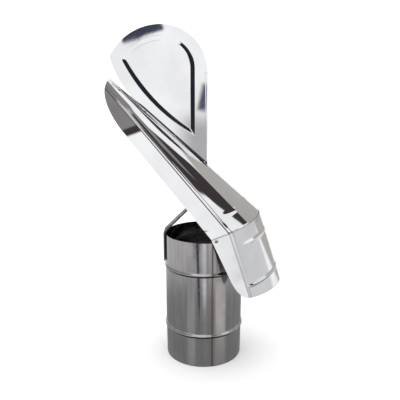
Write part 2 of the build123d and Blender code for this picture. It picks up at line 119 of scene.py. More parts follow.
# Wind vane: its panel lies inside it by margins, and its foot runs along the ridge
VANE_EDGE_X = 6.5 * MM
VANE_CROWN_Z = 636.2 * MM
VANE_FRONT_RADIUS = 84 * MM
VANE_BACK_RADIUS = 106.8 * MM
VANE_CORNER_TURN = radians(61.7)    # from the crown, round the back
VANE_BULGE = 5.7 * MM
VANE_HEEL_X = -127.7 * MM
PANEL_EDGE_MARGIN = 23 * MM
PANEL_CROWN_MARGIN = 18.7 * MM
PANEL_FRONT_RADIUS = 58 * MM
PANEL_BACK_RADIUS = 93 * MM
PANEL_CORNER_TURN = radians(55.8)
PANEL_BULGE = 14.5 * MM
PANEL_TIP_RISE = 53.5 * MM          # over the ridge's height at the vane's straight edge
PANEL_HEIGHT = 1.35 * MM
PANEL_SLOPE = 9 * MM
PANEL_ROUNDING = 0.25               # share of the slope at its start and at its end
HEM_WIDTH = 4.5 * MM
HEM_ROUNDING = 0.35 * MM
FOOT_WIDTH = 10 * MM
FOOT_END = 362 * MM
BEND_SIZE = 2.6 * MM
BEND_TAPER = 0.2                    # growth of the bend's size, from the plate's heel
BEND_LEAST_SIZE = 0.1 * MM
SEAT_GAP = 0.1 * MM
PLATE_GAP = 0.02 * MM               # between the plate and the bend

# Base pipe
PIPE_RADIUS = 75 * MM
PIPE_HEIGHT = 250 * MM
SPIGOT_STEP = 0.7 * MM
BEADS = (64 * MM, 187 * MM)
BEAD_HEIGHT = 2.4 * MM
BEAD_HALF = 4.6 * MM
WELD_TURN = radians(-77.5)          # of the pipe's weld, round the pivot axis


def down_slope(angle):
    """Direction in the symmetry plane that falls towards the guard."""
    return Vector((cos(angle), 0, -sin(angle)))


def depth_under(angle):
    """Direction in the symmetry plane that goes square into the form."""
    return Vector((-sin(angle), 0, -cos(angle)))


RIDGE_UP = -down_slope(RIDGE_ANGLE)
RIDGE_DEPTH = depth_under(RIDGE_ANGLE)
SEAM_DOWN = down_slope(SEAM_ANGLE)
SEAM_DEPTH = depth_under(SEAM_ANGLE)
GUARD_DOWN = down_slope(GUARD_ANGLE)
GUARD_DEPTH = depth_under(GUARD_ANGLE)
SEAM_CREST = Vector((SEAM_X, 0, RIDGE_HEIGHT - SEAM_X * tan(RIDGE_ANGLE)))
GUARD_CREST = SEAM_CREST - GUARD_DEPTH * LAP
GUARD_TOP = SEAM_CREST + GUARD_DOWN * GUARD_TOP_DROP

# Points that the sheets' outsides face away from
UNDER_HOOD = SEAM_CREST - Vector((0, 0, RIDGE_HEIGHT))
INSIDE_GUARD = SEAM_CREST - Vector((50 * MM, 0, 150 * MM))
BEHIND_VANE = Vector((0, 1000 * MM, RIDGE_HEIGHT))


def ridge_point(along, depth=0):
    """A point in the symmetry plane, up the ridge from the seam's crest and square under it."""
    return SEAM_CREST + RIDGE_UP * along + RIDGE_DEPTH * depth


def guard_point(drop, depth):
    """A point in the symmetry plane, down the guard's back and square under it."""
    return GUARD_CREST + GUARD_DOWN * drop + GUARD_DEPTH * depth


def ridge_at(x):
    """Height of the ridge at a place along X."""
    return RIDGE_HEIGHT - x * tan(RIDGE_ANGLE)


# ---- How finely the forms are divided


def even(start, end, steps):
    """Numbers from start to end, both included, in even steps."""
    return [start + (end - start) * i / steps for i in range(steps + 1)]


RIDGE_SHARES = even(0.5, 1, 5)      # the ridge's fold, from its middle
ARC_SHARES = even(0.1, 0.92, 22)
FOLD_SHARES = even(0, 1, 10)
BEAD_SHARES = even(0, 1, 16)
# Shares of the way from the nose to the seam, closest together over the hood's swage
HOOD_STATIONS = even(0, 0.88, 50)[:-1] + even(0.88, 0.94, 40)[:-1] + even(0.94, 1, 12)
FOOT_STATIONS = even(0, 0.8, 80)
FOOT_COLUMNS = 20
FLANK_COLUMN = 6                    # of the foot, for the flank's slope at the bend
BEND_COLUMNS = 8
ROW_STEP = 2.5 * MM                 # between the guard's rows
SWAGE_ROW_STEP = 0.5 * MM           # the same over a swage
CURVE_POINTS = 24                   # of the tongue's curve and of the guard's corner
NOTCH_SIDES = 28
OUTLINE_STEPS = 40                  # of each arc in the vane's outlines
PANEL_STEPS = 16
HEM_STEPS = 3
PIPE_BEAD_STEPS = 24
PIPE_SIDES = 192
JOIN_GAP = 1e-6                     # points that lie closer are one
CUT_GAP = 1e-7                      # points that lie closer to a cut are on it
SHARP_ANGLE = radians(30)           # edges that turn further stay sharp

# A piece's materials in their order, and the bead's columns from the free edge that get the
# painted shade of the fold grooves
POLISHED, UNPOLISHED, PAINTED_SHADE = 0, 1, 2
FOLDED_METALS = ("mirror_stainless", "unpolished_inside", "painted_groove_shade")
GUARD_METALS = ("satin_stainless", "unpolished_inside")
PIPE_METALS = ("mill_rolled_stainless",)
SHADED_FOLDS = ((1, 5), (13, 15))


# ---- Settings that a user would change


class CowlSheet(bpy.types.PropertyGroup):
    """Sizes of the sheet metal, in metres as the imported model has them."""

    sheet: bpy.props.FloatProperty(
        name="Sheet", description="Thickness of the sheet", default=0.8 * MM, unit="LENGTH")


class CowlFinish(bpy.types.PropertyGroup):
    """Colours and polish of the metals."""

    mirror_colour: bpy.props.FloatVectorProperty(
        name="Mirror sheet", description="Colour of the polished head",
        default=(0.9, 0.905, 0.92), size=3, min=0, max=1, subtype="COLOR")
    pipe_colour: bpy.props.FloatVectorProperty(
        name="Pipe sheet", description="Colour of the rolled pipe",
        default=(0.57, 0.555, 0.565), size=3, min=0, max=1, subtype="COLOR")
    bracket_colour: bpy.props.FloatVectorProperty(
        name="Bracket steel", description="Colour of the yoke and the bridge",
        default=(0.16, 0.16, 0.17), size=3, min=0, max=1, subtype="COLOR")
    mirror_roughness: bpy.props.FloatProperty(
        name="Mirror roughness", description="Roughness of the polished head",
        default=0.02, min=0, max=1, subtype="FACTOR")


class CowlStudio(bpy.types.PropertyGroup):
    """Camera, floor and surround."""

    focal_length: bpy.props.FloatProperty(
        name="Focal length", description="Camera lens, in millimetres on a 36 mm sensor",
        default=46.15, min=1)
    camera_distance: bpy.props.FloatProperty(
        name="Camera distance", description="From the pivot axis to the camera",
        default=0.9608, unit="LENGTH")
    camera_height: bpy.props.FloatProperty(
        name="Camera height", description="Over the pipe's lower end",
        default=0.5457, unit="LENGTH")
    camera_pitch: bpy.props.FloatProperty(
        name="Camera pitch", description="How far the camera looks down",
        default=radians(13.58), subtype="ANGLE")
    camera_yaw: bpy.props.FloatProperty(
        name="Camera yaw", description="How far the camera turns to the left",
        default=radians(0.45), subtype="ANGLE")
    floor_size: bpy.props.FloatProperty(
        name="Floor size", description="Side of the floor", default=12.0, unit="LENGTH")


# ---- Materials

GUARD_POLISH_LOSS = 5
TURNED_STEEL = (0.66, 0.66, 0.67)
SINTERED_BRONZE = (0.60, 0.38, 0.16)
INSIDE_COLOUR = (0.5, 0.49, 0.48)
# dark colour painted as shade along the fold beads' edges and in the vane's bend
GROOVE_SHADE_COLOUR = (0.12, 0.115, 0.13)
# colour of the shade painted into creases and joints
CREASE_SHADE = (0.05, 0.045, 0.045)
WELD_STRAW = (0.42, 0.37, 0.34)
WELD_BROWN = (0.17, 0.12, 0.105)
PAD_COLOUR = (0.55, 0.53, 0.48)
PAD_SPECKS = (0.46, 0.44, 0.40)
FLOOR_PAINT = (0.93, 0.93, 0.93)


class NodeMaker:
    """Adds nodes to a shader tree, and hands back the output that each one gives."""

    def __init__(self, tree):
        self.nodes, self.links = tree.nodes, tree.links

    def feed(self, socket, value):
        """Link a socket to another node's output, or set it to a constant."""
        if isinstance(value, bpy.types.NodeSocket):
            self.links.new(value, socket)
        else:
            socket.default_value = value

    def maths(self, operation, *values):
        node = self.nodes.new("ShaderNodeMath")
        node.operation = operation
        for socket, value in zip(node.inputs, values):
            self.feed(socket, value)
        return node.outputs[0]

    def spread(self, value, low, high, start=0.3, end=0.7):
        """A value that goes from low to high, as another goes from start to end."""
        node = self.nodes.new("ShaderNodeMapRange")
        node.interpolation_type = "SMOOTHSTEP"
        settings = {"Value": value, "From Min": start, "From Max": end,
                    "To Min": low, "To Max": high}
        for name, setting in settings.items():
            self.feed(node.inputs[name], setting)
        return node.outputs["Result"]

    def cover(self, share, under, colour):
        """Lay a colour over what is under it, by a share."""
        node = self.nodes.new("ShaderNodeMix")
        node.data_type = "RGBA"
        for name, setting in {"Factor": share, "A": under, "B": (*colour, 1)}.items():
            self.feed(node.inputs[name], setting)
        return node.outputs["Result"]

    def unless_mirrored(self, seen, mirrored):
        """One shader for the camera and soft light, another for what polished metal mirrors."""
        ray = self.nodes.new("ShaderNodeLightPath").outputs["Is Glossy Ray"]
        node = self.nodes.new("ShaderNodeMixShader")
        for socket, value in zip(node.inputs, (ray, seen, mirrored)):
            self.feed(socket, value)
        return node.outputs[0]


class Finish(NodeMaker):
    """Adds the marks of making and use to a material, in its piece's own place, and paints
    shade into its creases.
    """

    def __init__(self, material):
        super().__init__(material.node_tree)
        self.shader = self.nodes["Principled BSDF"]
        self.place = self.nodes.new("ShaderNodeTexCoord").outputs["Object"]

    def noise(self, size, detail=3.0, stretch=(1, 1, 1), turn=(0, 0, 0), place=None):
        """Noise with features of about a size in metres, drawn out by its stretch."""
        mapping = self.nodes.new("ShaderNodeMapping")
        mapping.vector_type = "TEXTURE"
        mapping.inputs["Rotation"].default_value = turn
        mapping.inputs["Scale"].default_value = [size * share for share in stretch]
        self.feed(mapping.inputs["Vector"], place or self.place)
        texture = self.nodes.new("ShaderNodeTexNoise")
        texture.inputs["Scale"].default_value = 1
        texture.inputs["Detail"].default_value = detail
        self.feed(texture.inputs["Vector"], mapping.outputs[0])
        return texture.outputs["Fac"]

    def tint(self, share, colour, under=None):
        """Lay a colour over the piece's colour, or over what is under it, by a share."""
        base = self.shader.inputs["Base Color"]
        covered = self.cover(share, under or base.default_value, colour)
        self.feed(base, covered)
        return covered

    def paint_crease_shade(self, reach, under):
        """Paint shade into the creases and joints, darkest where ambient occlusion is deepest.
        """
        crease = self.nodes.new("ShaderNodeAmbientOcclusion")
        crease.samples = 8
        crease.inputs["Distance"].default_value = reach
        share = self.spread(crease.outputs["AO"], low=0.92, high=0, start=0.45, end=0.85)
        self.tint(share, CREASE_SHADE, under)

    def roughen(self, value):
        self.feed(self.shader.inputs["Roughness"], value)

    def bump(self, height, distance, under=None):
        """Raise the surface by up to a distance in metres."""
        node = self.nodes.new("ShaderNodeBump")
        node.inputs["Distance"].default_value = distance
        self.feed(node.inputs["Height"], height)
        if under:
            self.feed(node.inputs["Normal"], under)
        self.feed(self.shader.inputs["Normal"], node.outputs[0])
        return node.outputs[0]


def new_material(name, colour, roughness, metallic=1.0):
    material = bpy.data.materials.new(name)
    material.use_nodes = True
    shader = material.node_tree.nodes["Principled BSDF"]
    shader.inputs["Base Color"].default_value = (*colour, 1)
    shader.inputs["Roughness"].default_value = roughness
    shader.inputs["Metallic"].default_value = metallic
    return material


def darker(colour, share):
    return tuple(channel * share for channel in colour)


def mirror_stainless(name, finish, polish_loss):
    """Polished sheet: slightly wavy, with hazy wipe marks and hairline scratches."""
    dullness = finish.mirror_roughness * polish_loss
    material = new_material(name, finish.mirror_colour, dullness)
    look = Finish(material)
    haze = look.noise(size=90 * MM, detail=4)
    wipes = look.noise(size=5 * MM, detail=5, stretch=(1, 1, 14), turn=(0, radians(40), 0))
    rise_and_fall = look.noise(size=60 * MM, detail=1)
    colour = look.tint(look.spread(haze, 0, 1), darker(finish.mirror_colour, 0.88))
    # painted shade in the creases and joints, from ambient occlusion
    look.paint_crease_shade(reach=2.5 * MM, under=colour)
    polish = look.spread(haze, low=0.6, high=1.5)
    scratches = look.spread(wipes, low=1 - 0.2 / polish_loss, high=1 + 0.5 / polish_loss)
    look.roughen(look.maths("MULTIPLY", look.maths("MULTIPLY", polish, scratches), dullness))
    waves = look.bump(rise_and_fall, distance=0.07 * MM / polish_loss)
    look.bump(wipes, distance=0.0012 * MM / polish_loss**2, under=waves)
    return material


def rolled_stainless(finish):
    """Mill-rolled pipe: streaks round it and up it, cloudy patches, and a heat-tinted weld."""
    material = new_material("mill_rolled_stainless", finish.pipe_colour, roughness=0.2)
    look = Finish(material)
    axes = look.nodes.new("ShaderNodeSeparateXYZ")
    look.feed(axes.inputs[0], look.place)
    around = look.maths("ARCTAN2", axes.outputs["Y"], axes.outputs["X"])
    unrolled = look.nodes.new("ShaderNodeCombineXYZ")
    look.feed(unrolled.inputs["X"], look.maths("MULTIPLY", around, PIPE_RADIUS))
    look.feed(unrolled.inputs["Z"], axes.outputs["Z"])
    sheet = unrolled.outputs[0]
    clouds = look.noise(size=45 * MM, detail=5)
    upright = look.noise(size=9 * MM, stretch=(1, 1, 12), place=sheet)
    level = look.noise(size=1.2 * MM, detail=4, stretch=(40, 1, 1), place=sheet)
    turn_off_weld = look.maths("ABSOLUTE", look.maths("SUBTRACT", around, WELD_TURN))
    off_weld = look.maths("MULTIPLY", turn_off_weld, PIPE_RADIUS)

    colour = look.tint(look.spread(clouds, 0, 0.8), darker(finish.pipe_colour, 0.8))
    colour = look.tint(look.spread(upright, 0, 0.7), darker(finish.pipe_colour, 0.78), colour)
    straw = look.spread(off_weld, low=0.55, high=0, start=0, end=7 * MM)
    colour = look.tint(straw, WELD_STRAW, colour)
    brown = look.spread(off_weld, low=0.85, high=0, start=0.3 * MM, end=2.4 * MM)
    look.tint(brown, WELD_BROWN, colour)
    look.roughen(look.maths("ADD", look.spread(clouds, 0.08, 0.15),
                            look.spread(level, -0.02, 0.05)))
    waves = look.bump(clouds, distance=0.12 * MM)
    lines = look.bump(level, distance=0.002 * MM, under=waves)
    weld = look.spread(off_weld, low=1, high=0, start=0, end=1.2 * MM)
    look.bump(weld, distance=0.12 * MM, under=lines)
    return material


def plain_metal(name, colour, roughness, grain):
    """Small parts and insides: a fine grain, cloudy patches and duller spots."""
    material = new_material(name, colour, roughness)
    look = Finish(material)
    patches = look.noise(size=12 * MM, detail=5)
    fine = look.noise(grain)
    under = look.tint(look.spread(patches, 0, 1), darker(colour, 0.7))
    look.tint(look.spread(fine, low=0, high=0.5, start=0.55, end=0.75), darker(colour, 0.6),
              under)
    look.roughen(look.spread(patches, low=roughness * 0.8, high=roughness * 1.35))
    look.bump(fine, distance=0.03 * MM)
    return material


def pad_plastic():
    material = new_material("moulded_pad", PAD_COLOUR, roughness=0.5, metallic=0)
    look = Finish(material)
    grain = look.noise(size=0.8 * MM)
    look.tint(look.spread(grain, 0, 1), PAD_SPECKS)
    look.bump(grain, distance=0.02 * MM)
    return material


def floor_material():
    """Pale paint that the polished metal doesn't mirror: it mirrors the cards instead."""
    material = new_material("floor_paint", FLOOR_PAINT, roughness=0.9, metallic=0)
    look = NodeMaker(material.node_tree)
    clear = look.nodes.new("ShaderNodeBsdfTransparent")
    shown = look.unless_mirrored(look.nodes["Principled BSDF"].outputs[0], clear.outputs[0])
    look.feed(look.nodes["Material Output"].inputs["Surface"], shown)
    return material


class COWL_OT_metals(bpy.types.Operator):
    """Make the metals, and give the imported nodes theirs"""

    bl_idname = "cowl.metals"
    bl_label = "Metals"

    def execute(self, context):
        finish = context.scene.cowl_finish
        metals = {
            "polished_stainless": mirror_stainless("mirror_stainless", finish, polish_loss=1),
            "rolled_stainless": rolled_stainless(finish),
            "bracket_steel": plain_metal("strap_steel", finish.bracket_colour,
                                         roughness=0.38, grain=1.2 * MM),
            "fastener_steel": plain_metal("turned_steel", TURNED_STEEL,
                                          roughness=0.25, grain=0.5 * MM),
            "bush_bronze": plain_metal("sintered_bronze", SINTERED_BRONZE,
                                       roughness=0.35, grain=0.6 * MM),
            "pad_plastic": pad_plastic(),
        }
        mirror_stainless("satin_stainless", finish, GUARD_POLISH_LOSS)
        plain_metal("unpolished_inside", INSIDE_COLOUR, roughness=0.42, grain=1.5 * MM)
        # a dark sheet painted as shade along the hood's fold beads and in the vane's bend
        plain_metal("painted_groove_shade", GROOVE_SHADE_COLOUR, roughness=0.3, grain=1.5 * MM)
        for subpart in frame["record"]["subparts"]:
            mesh = frame["nodes"][subpart["node"]].data
            mesh.materials.clear()
            mesh.materials.append(metals[subpart["material_slot"]])
        return {"FINISHED"}


# ---- Making pieces


def new_grid(columns, rows, place, shaded=()):
    """A grid whose vertices are moved to place(column, row); some columns get the painted
    shade.
    """
    bm = bmesh.new()
    bmesh.ops.create_grid(bm, x_segments=columns, y_segments=rows, size=0.5)
    for face in bm.faces:
        column = int((face.calc_center_median().x + 0.5) * columns)
        face.material_index = PAINTED_SHADE if column in shaded else POLISHED
    for vertex in bm.verts:
        column = round((vertex.co.x + 0.5) * columns)
        row = round((vertex.co.y + 0.5) * rows)
        vertex.co = place(column, row)
    return bm


def trim(bm, point, outward):
    """Cut away everything on the outward side of a plane."""
    geometry = bm.verts[:] + bm.edges[:] + bm.faces[:]
    bmesh.ops.bisect_plane(bm, geom=geometry, dist=CUT_GAP, plane_co=point,
                           plane_no=outward, clear_outer=True)


def convex_trim(bm, points):
    """Cut a form along a chain of points in the symmetry plane; the inside is on the left."""
    for start, end in zip(points, points[1:]):
        run = end - start
        trim(bm, start, Vector((run.z, 0, -run.x)).normalized())


def give_wall(bm, thickness, core, inside):
    """Point the faces away from the core, then make the sheet's wall behind them."""
    bmesh.ops.remove_doubles(bm, verts=bm.verts, dist=JOIN_GAP)
    bm.normal_update()
    if sum(face.normal.dot(face.calc_center_median() - core) for face in bm.faces) < 0:
        bmesh.ops.reverse_faces(bm, faces=bm.faces)
        bm.normal_update()
    outer = set(bm.faces)
    bmesh.ops.solidify(bm, geom=bm.faces[:], thickness=thickness)
    for face in bm.faces:
        if face not in outer:
            face.material_index = inside


def add_piece(bm, name, body, replaced, materials):
    """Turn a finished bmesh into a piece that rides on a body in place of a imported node."""
    mesh = bpy.data.meshes.new(name)
    bm.to_mesh(mesh)
    bm.free()
    mesh.polygons.foreach_set("use_smooth", [True] * len(mesh.polygons))
    mesh.set_sharp_from_angle(angle=SHARP_ANGLE)
    for material in materials:
        mesh.materials.append(bpy.data.materials[material])
    piece = bpy.data.objects.new(name, mesh)
    bpy.context.scene.collection.objects.link(piece)
    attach(piece, body)
    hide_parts(replaced)
    weigh = piece.modifiers.new("flats_stay_flat", "WEIGHTED_NORMAL")
    weigh.keep_sharp = True
    return piece


def swell(distance, half):
    """Height of a rolled ridge over the sheet, as a share, at a distance from its middle."""
    return cos(min(abs(distance) / half, 1) * pi / 2) ** 2


def swell_back(bm, middle, across, swage):
    """Raise a swage over the rounded back, faded out towards the folds."""
    bm.normal_update()
    normals = [(vertex, vertex.normal.copy()) for vertex in bm.verts]
    for vertex, normal in normals:
        fade = min(max((swage.end - abs(vertex.co.y)) / swage.fade, 0), 1)
        outward = normal if normal.dot(RIDGE_DEPTH) < 0 else -normal
        rise = swage.height * fade * swell((vertex.co - middle).dot(across), swage.half)
        vertex.co += outward * rise


def arc_point(depth, half, share):
    """A point, as depth and half width, on the arc that starts level at the ridge."""
    radius = (depth**2 + half**2) / (2 * depth)
    turn = acos(1 - depth / radius) * share
    return Vector((radius * (1 - cos(turn)), radius * sin(turn)))


def round_off(start, corner, end, share):
    """A point on the curve that leaves its start towards a corner, and ends away from it."""
    return start.lerp(corner, share).lerp(corner.lerp(end, share), share)


def fold(before, corner, after, shares, reach):
    """Points of a fold's rounded corner, which starts and ends at a reach from it."""
    start = corner + (before - corner).normalized() * reach
    end = corner + (after - corner).normalized() * reach
    return [round_off(start, corner, end, share) for share in shares]


def rounded_ridge(arc):
    """Right half of the ridge's fold, and the arc that goes on from it."""
    near = arc[0]
    opposite = Vector((near.x, -near.y))
    return fold(opposite, Vector((0, 0)), near, RIDGE_SHARES, RIDGE_FOLD_REACH) + arc


# ---- Hood


def beaded_section(arc, folds, edge):
    """Right half of the hood's section, and how far its points move out for the folds' bead."""
    back = rounded_ridge(arc)
    inner, outer = folds
    run = (outer - inner).normalized()
    outward = Vector((-run.y, run.x))
    strip = [inner.lerp(outer, share) for share in BEAD_SHARES]
    moves = [outward * FOLD_BEAD_HEIGHT * swell(share - 0.5, 0.5) for share in BEAD_SHARES]
    still = Vector((0, 0))
    return back + strip + [edge], [still] * len(back) + moves + [still]


def nose_section():
    """Half section of the nose: a V with a straight flank, a little bulged near the ridge."""
    def on_flank(distance, bulge=0.0):
        depth = distance * cos(NOSE_HALF_ANGLE) - bulge * sin(NOSE_HALF_ANGLE)
        return Vector((depth, distance * sin(NOSE_HALF_ANGLE) + bulge * cos(NOSE_HALF_ANGLE)))

    arc = [on_flank(NOSE_FOLDS[0] * share, NOSE_BULGE * 4 * share * (1 - share))
           for share in ARC_SHARES]
    folds = [on_flank(distance) for distance in NOSE_FOLDS]
    return beaded_section(arc, folds, on_flank(NOSE_EDGE))


def seam_section():
    """Half section at the seam: a rounded back, two folds and an upright flank."""
    fold_half = HALF_WIDTH - SEAM_FOLD_STEP
    arc = [arc_point(SEAM_FOLDS[0], fold_half, share) for share in ARC_SHARES]
    folds = [Vector((SEAM_FOLDS[0], fold_half)), Vector((SEAM_FOLDS[1], HALF_WIDTH))]
    return beaded_section(arc, folds, Vector((SEAM_EDGE + TRIM_SPARE, HALF_WIDTH)))


def bead_share(share):
    """How much of the folds' bead stands at a share of the way from the nose to the seam."""
    return max(min((share - BEAD_START) / BEAD_FADE, (BEAD_END - share) / BEAD_FADE, 1), 0)


def ruled_form(stations, collar=0):
    """Columns of a grid on the hood's rule lines, and where its vertices go, from the nose."""
    (nose, nose_moves), (seam, seam_moves) = nose_section(), seam_section()
    middle = len(nose) - 1
    nose_crest = ridge_point(RIDGE_LENGTH + NOSE_SPARE)

    def place(column, row):
        share = stations[min(row, len(stations) - 1)]
        index = abs(column - middle)
        start = nose[index] + nose_moves[index] * bead_share(share)
        end = seam[index] + seam_moves[index] * bead_share(share)
        at_nose, at_seam = nose_crest + RIDGE_DEPTH * start.x, SEAM_CREST + SEAM_DEPTH * end.x
        point = at_nose.lerp(at_seam, share)
        point.y = (start.y + (end.y - start.y) * share) * (1 if column > middle else -1)
        if row >= len(stations):
            point += GUARD_DOWN * collar
        return point

    return 2 * middle, place


def tongue_outline():
    """Side view of the hood's free edge, from over the nose round the tongue to the seam."""
    tip, end = ridge_point(*TONGUE_TIP), ridge_point(*TONGUE_END)
    corner = SEAM_CREST + SEAM_DEPTH * SEAM_EDGE
    edge_run = (end - corner).normalized()
    curve = interpolate_bezier(tip, tip + RIDGE_DEPTH * TONGUE_HANDLES[0],
                               end + edge_run * TONGUE_HANDLES[1], end, CURVE_POINTS)
    return [tip - RIDGE_DEPTH * HALF_WIDTH, *curve, corner]


class COWL_OT_hood(bpy.types.Operator):
    """Make the hood: folded to a V at the nose and rounded out at the seam"""

    bl_idname = "cowl.hood"
    bl_label = "Hood"

    def execute(self, context):
        columns, place = ruled_form(HOOD_STATIONS, COLLAR_LENGTH)
        # the fold bead's edge columns on both flanks get the painted shade
        folds = [index for near, far in SHADED_FOLDS for index in range(near, far)]
        shaded = [*folds, *(columns - 1 - index for index in folds)]
        bm = new_grid(columns, len(HOOD_STATIONS), place, shaded)
        swell_back(bm, ridge_point(BAND.place), SEAM_DOWN, BAND)
        convex_trim(bm, tongue_outline())
        give_wall(bm, context.scene.cowl_sheet.sheet, UNDER_HOOD, UNPOLISHED)
        add_piece(bm, "polished_hood", "head", "hood", FOLDED_METALS)
        return {"FINISHED"}


# ---- Neck guard


def guard_section():
    """Right half of the guard's section: a rounded back, one fold and an upright flank."""
    half = HALF_WIDTH + LAP
    arc = [arc_point(GUARD_FOLD, half, share) for share in ARC_SHARES]
    corner, edge = Vector((GUARD_FOLD, half)), Vector((GUARD_EDGE_TOP + TRIM_SPARE, half))
    turned = fold(arc[-1], corner, edge, FOLD_SHARES, GUARD_FOLD_REACH)
    return rounded_ridge(arc) + turned + [edge]


def guard_rows():
    """Drops of the rows of the guard's grid, close together over each swage."""
    drops = [-TRIM_SPARE / 2]
    while drops[-1] < GUARD_LENGTH + TRIM_SPARE:
        near = any(abs(drops[-1] - swage.place) < swage.half + ROW_STEP
                   for swage in GUARD_SWAGES)
        drops.append(drops[-1] + (SWAGE_ROW_STEP if near else ROW_STEP))
    return drops


def guard_channel():
    """The guard's channel with its swages, before its trims."""
    section, drops = guard_section(), guard_rows()
    middle = len(section) - 1

    def place(column, row):
        point = section[abs(column - middle)]
        side = 1 if column > middle else -1
        return guard_point(drops[row], point.x) + Vector((0, side * point.y, 0))

    bm = new_grid(2 * middle, len(drops) - 1, place)
    for swage in GUARD_SWAGES:
        swell_back(bm, guard_point(swage.place, 0), GUARD_DOWN, swage)
    return bm


def guard_outline():
    """Side view of the guard's free edge, from its top round the corner to its foot."""
    edge_top = GUARD_TOP + SEAM_DEPTH * GUARD_EDGE_TOP
    low, corner = guard_point(*GUARD_EDGE_LOW), guard_point(*GUARD_CORNER)
    foot = guard_point(GUARD_LENGTH, 0)
    taper = (low - edge_top).normalized()
    handles = (low + taper * GUARD_HANDLES[0],
               corner + (corner - foot).normalized() * GUARD_HANDLES[1])
    turn = interpolate_bezier(low, *handles, corner, CURVE_POINTS)
    return [edge_top - taper, *turn, foot]


def notch_cutters(side):
    """A round notch at a fold, and the slit from it to the guard's end, wider outside."""
    notch, slit = bmesh.new(), bmesh.new()
    bmesh.ops.create_cone(notch, cap_ends=True, segments=NOTCH_SIDES, radius1=NOTCH_RADIUS,
                          radius2=NOTCH_RADIUS * CUT_TAPER, depth=CUT_DEPTH,
                          matrix=Matrix.Rotation(side * pi / 2, 4, "X"))
    bmesh.ops.create_cube(slit, size=1)
    bmesh.ops.scale(slit, verts=slit.verts, vec=(GUARD_LENGTH, CUT_DEPTH, SLIT_WIDTH))
    inner = [vertex for vertex in slit.verts if vertex.co.y * side < 0]
    bmesh.ops.scale(slit, verts=inner, vec=(1, 1, CUT_TAPER))
    bmesh.ops.translate(slit, verts=slit.verts, vec=(GUARD_LENGTH / 2, 0, 0))
    bmesh.ops.rotate(slit, verts=slit.verts, matrix=Matrix.Rotation(GUARD_ANGLE, 3, "Y"))
    for bm, (drop, depth, half) in ((notch, NOTCH), (slit, SLIT)):
        middle = guard_point(drop, depth) + Vector((0, side * half, 0))
        bmesh.ops.translate(bm, verts=bm.verts, vec=middle)
        bmesh.ops.recalc_face_normals(bm, faces=bm.faces)
        for face in bm.faces:
            face.material_index = UNPOLISHED
    return notch, slit


def cut_out(piece, cutters):
    """Cut shapes out of a piece, and leave it with a plain mesh."""
    for bm in cutters:
        mesh = bpy.data.meshes.new("cutter")
        bm.to_mesh(mesh)
        bm.free()
        for material in piece.data.materials:
            mesh.materials.append(material)
        cutter = bpy.data.objects.new("cutter", mesh)
        bpy.context.scene.collection.objects.link(cutter)
        cut = piece.modifiers.new("cut", "BOOLEAN")
        cut.operation = "DIFFERENCE"
        cut.solver = "EXACT"
        cut.object = cutter
        graph = bpy.context.evaluated_depsgraph_get()
        result = bpy.data.meshes.new_from_object(piece.evaluated_get(graph))
        result.name = piece.data.name
        piece.modifiers.remove(cut)
        piece.data = result
        bpy.data.objects.remove(cutter)
        bpy.data.meshes.remove(mesh)


class COWL_OT_neck_guard(bpy.types.Operator):
    """Make the neck guard, with its swages, its rounded corners and the slits at its folds"""

    bl_idname = "cowl.neck_guard"
    bl_label = "Neck guard"

    def execute(self, context):
        bm = guard_channel()
        convex_trim(bm, guard_outline())
        trim(bm, GUARD_TOP, -SEAM_DOWN)
        give_wall(bm, context.scene.cowl_sheet.sheet, INSIDE_GUARD, UNPOLISHED)
        piece = add_piece(bm, "polished_neck_guard", "head", "neck_guard",
                          GUARD_METALS)
        cut_out(piece, [*notch_cutters(-1), *notch_cutters(1)])
        return {"FINISHED"}


# ---- Wind vane


def run_to(bm, vertex, place):
    """Carry an outline on with a straight edge."""
    vertex = bmesh.ops.extrude_vert_indiv(bm, verts=[vertex])["verts"][0]
    vertex.co = place
    return vertex


def run_round(bm, vertex, centre, end):
    """Carry an outline on round a centre to a place, anticlockwise as the camera sees it."""
    turn = (vertex.co - centre).angle(end - centre)
    spun = bmesh.ops.spin(bm, geom=[vertex], cent=centre, axis=(0, -1, 0), angle=turn,
                          steps=OUTLINE_STEPS, use_duplicate=False)
    return next(item for item in spun["geom_last"] if isinstance(item, bmesh.types.BMVert))


